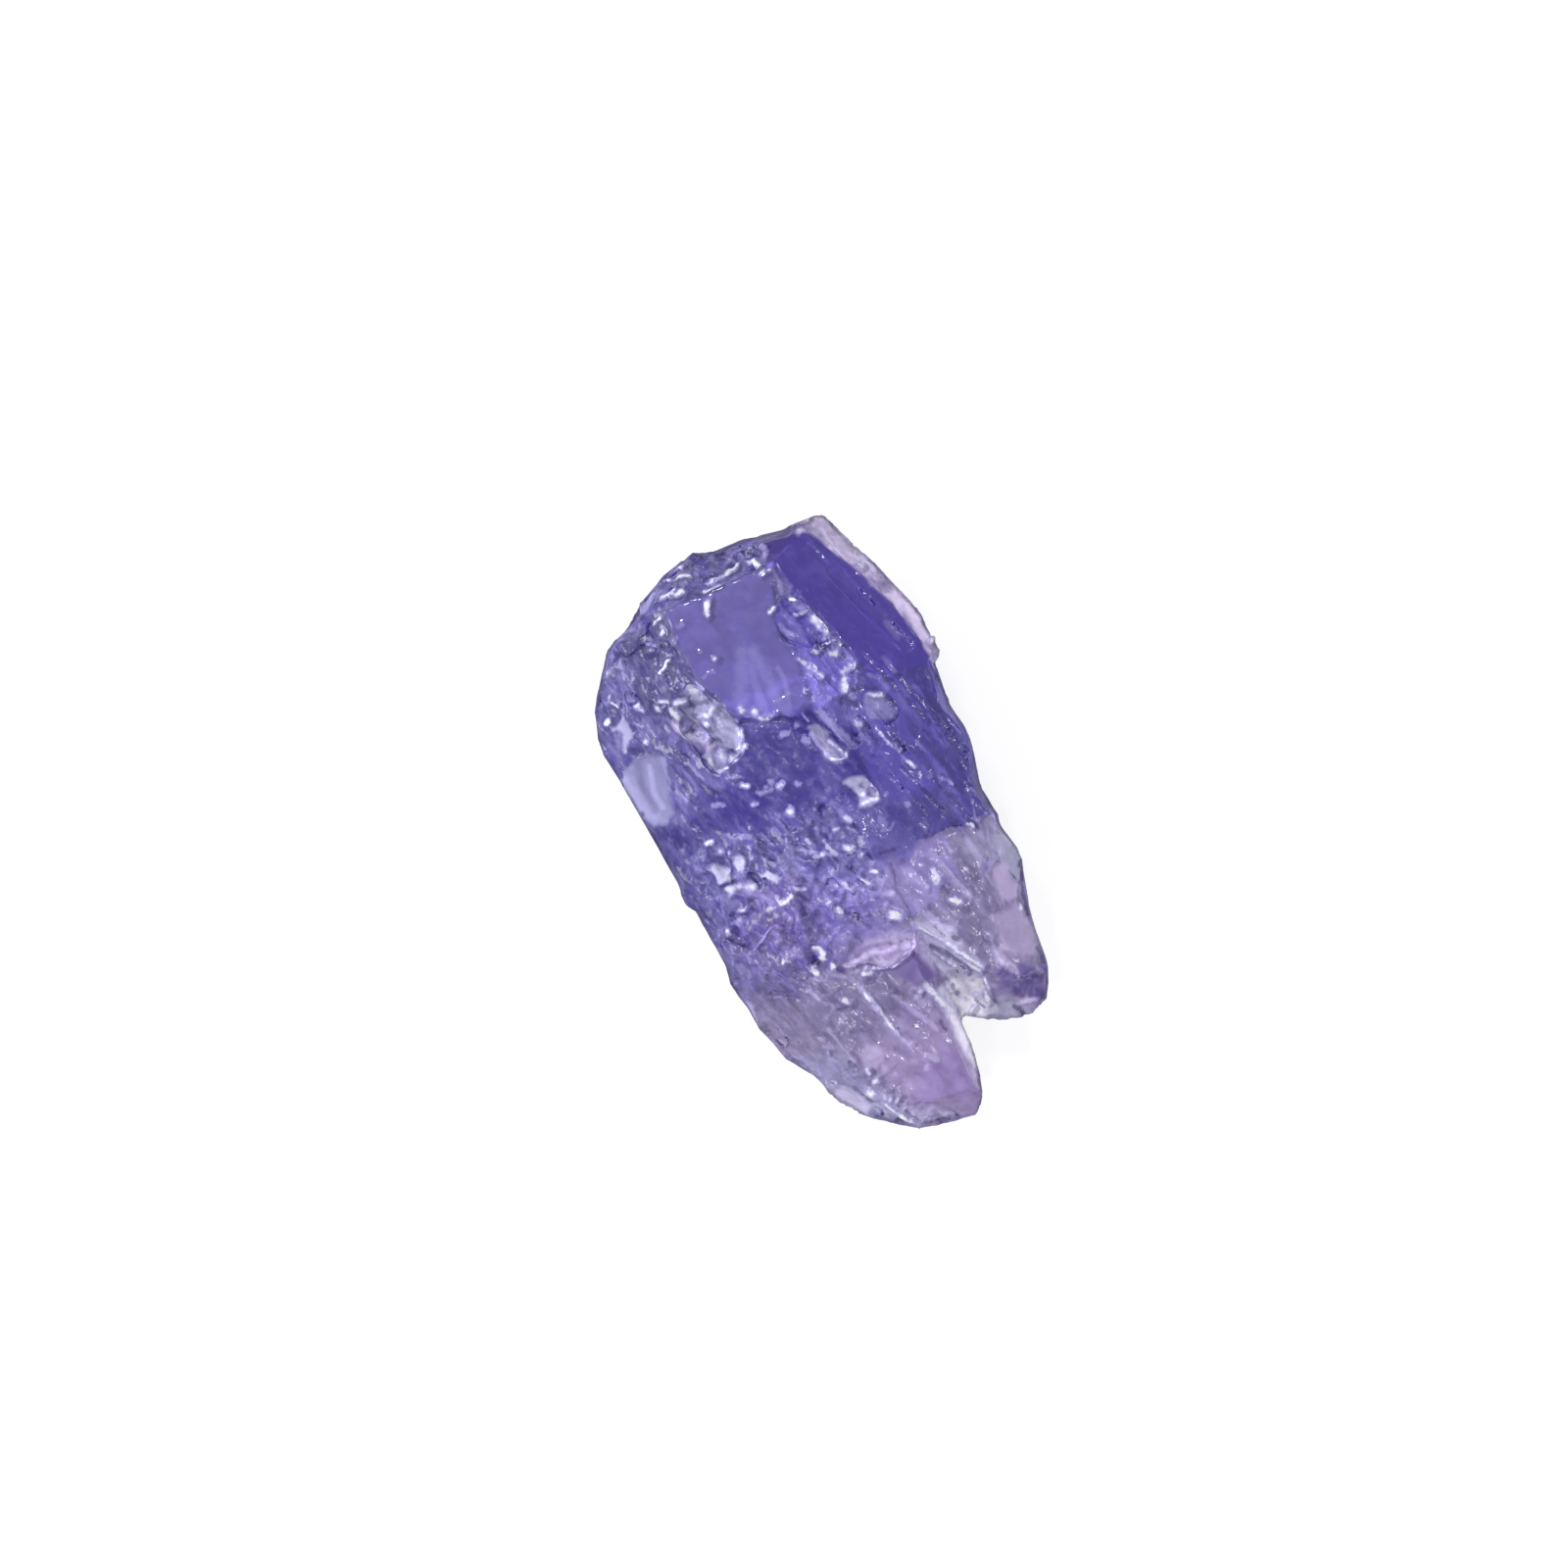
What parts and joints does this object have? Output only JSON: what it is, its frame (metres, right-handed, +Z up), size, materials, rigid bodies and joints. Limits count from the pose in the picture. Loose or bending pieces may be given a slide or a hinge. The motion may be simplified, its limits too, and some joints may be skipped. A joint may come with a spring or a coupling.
{
  "type": "rough tanzanite",
  "caption": "Single broken crystal of rough tanzanite, see-through violet-blue, with a bevelled end, a smooth prism face, hackly fracture and paler lobes at the other end.",
  "frame": {"origin": "middle of the surface that the stone rests on, under the centre of its box", "axes": "+Y along the stone towards its bevelled end, +X across it towards the smooth prism face, +Z up through the front face"},
  "size_m": [0.0086, 0.0154, 0.006],
  "materials": {
    "tanzanite": "clear violet-blue crystal with vitreous cleavage faces and frosted fracture"
  },
  "bodies": {
    "root": {"crystal": "tanzanite"}
  },
  "joints": []
}
